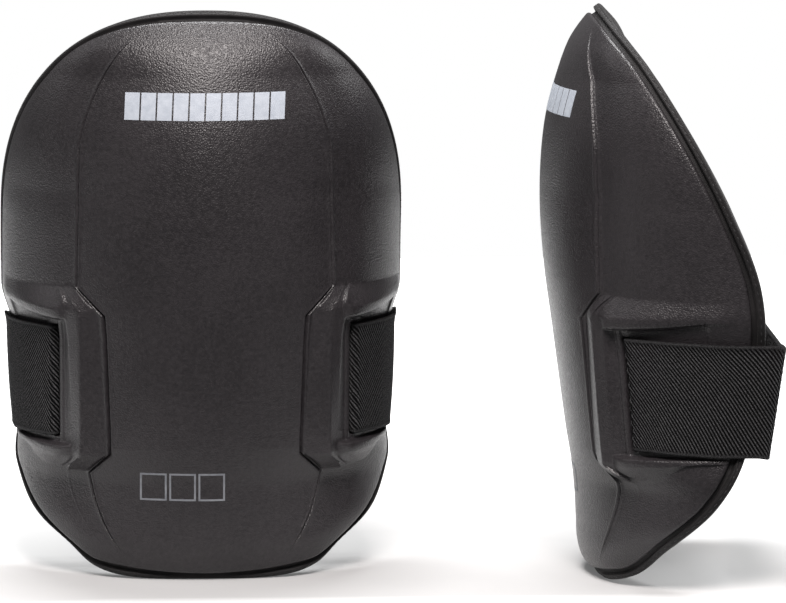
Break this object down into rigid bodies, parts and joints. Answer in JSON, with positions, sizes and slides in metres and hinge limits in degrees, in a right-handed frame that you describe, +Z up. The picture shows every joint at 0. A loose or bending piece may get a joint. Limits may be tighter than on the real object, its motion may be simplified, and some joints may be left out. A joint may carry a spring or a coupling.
{
  "type": "knee pads",
  "caption": "Moulded foam knee pads with a raised centre panel, side strap housings, padded lining, bound rim and elastic hook-and-loop straps that close behind the knee.",
  "frame": {"origin": "middle of pad A's knee cup, at the lining, where the kneecap rests", "axes": "+Y points back out of pad A's cup towards the leg, +X from pad A towards pad B, +Z up the leg"},
  "size_m": [0.3078, 0.1618, 0.2274],
  "materials": {
    "foam_shell": "matt charcoal moulded foam with a fine pebble grain",
    "rim_binding": "matt charcoal edge bead",
    "inner_foam": "matt dark foam",
    "lining_fabric": "black brushed knit",
    "anchor_fabric": "black non-woven reinforcement",
    "webbing": "black twill-ribbed elastic webbing",
    "loop_pile": "black fuzzy loop tape",
    "hook_pile": "black moulded hook tape"
  },
  "bodies": {
    "pad_a": {"a_shell": "foam_shell", "a_rim_binding": "rim_binding", "a_cushion": "inner_foam", "a_lining": "lining_fabric", "a_loop_anchor": "anchor_fabric", "a_hook_anchor": "anchor_fabric", "a_loop_strap_side": "webbing", "a_hook_strap_side": "webbing"},
    "a_loop_half": {"a_loop_strap_back": "webbing", "a_loop_patch": "loop_pile"},
    "a_hook_half": {"a_hook_strap_back": "webbing"},
    "a_hook_end": {"a_hook_tab": "webbing", "a_hook_patch": "hook_pile"},
    "pad_b": {"b_shell": "foam_shell", "b_rim_binding": "rim_binding", "b_cushion": "inner_foam", "b_lining": "lining_fabric", "b_loop_anchor": "anchor_fabric", "b_hook_anchor": "anchor_fabric", "b_loop_strap_side": "webbing", "b_hook_strap_side": "webbing"},
    "b_loop_half": {"b_loop_strap_back": "webbing", "b_loop_patch": "loop_pile"},
    "b_hook_half": {"b_hook_strap_back": "webbing"},
    "b_hook_end": {"b_hook_tab": "webbing", "b_hook_patch": "hook_pile"}
  },
  "joints": [
    {"name": "a_hook_half_open", "type": "hinge", "parent": "pad_a", "child": "a_hook_half", "pos_m": [0.068, 0.06997, -0.04249], "axis": [0, -0.1374, -0.9905], "range_deg": [0, 100]},
    {"name": "a_loop_half_open", "type": "hinge", "parent": "pad_a", "child": "a_loop_half", "pos_m": [-0.068, 0.0664, -0.042], "axis": [0, 0.1374, 0.9905], "range_deg": [0, 40]},
    {"name": "a_tab_peel", "type": "hinge", "parent": "a_hook_half", "child": "a_hook_end", "pos_m": [0.024, 0.06997, -0.04249], "axis": [0, -0.1374, -0.9905], "range_deg": [0, 70]},
    {"name": "b_hook_half_open", "type": "hinge", "parent": "pad_b", "child": "b_hook_half", "pos_m": [0.22297, -0.046, -0.04249], "axis": [-0.1374, 0, -0.9905], "range_deg": [0, 100]},
    {"name": "b_loop_half_open", "type": "hinge", "parent": "pad_b", "child": "b_loop_half", "pos_m": [0.2194, 0.09, -0.042], "axis": [0.1374, 0, 0.9905], "range_deg": [0, 40]},
    {"name": "b_tab_peel", "type": "hinge", "parent": "b_hook_half", "child": "b_hook_end", "pos_m": [0.22297, -0.002, -0.04249], "axis": [-0.1374, 0, -0.9905], "range_deg": [0, 70]},
    {"name": "pad_b_apart", "type": "slide", "parent": "pad_a", "child": "pad_b", "axis": [1, 0, 0], "range_m": [0, 0.15]}
  ],
  "couplings": [
    {"joint": "a_loop_half_open", "follows": "a_hook_half_open", "ratio": 0.4},
    {"joint": "b_loop_half_open", "follows": "b_hook_half_open", "ratio": 0.4}
  ]
}
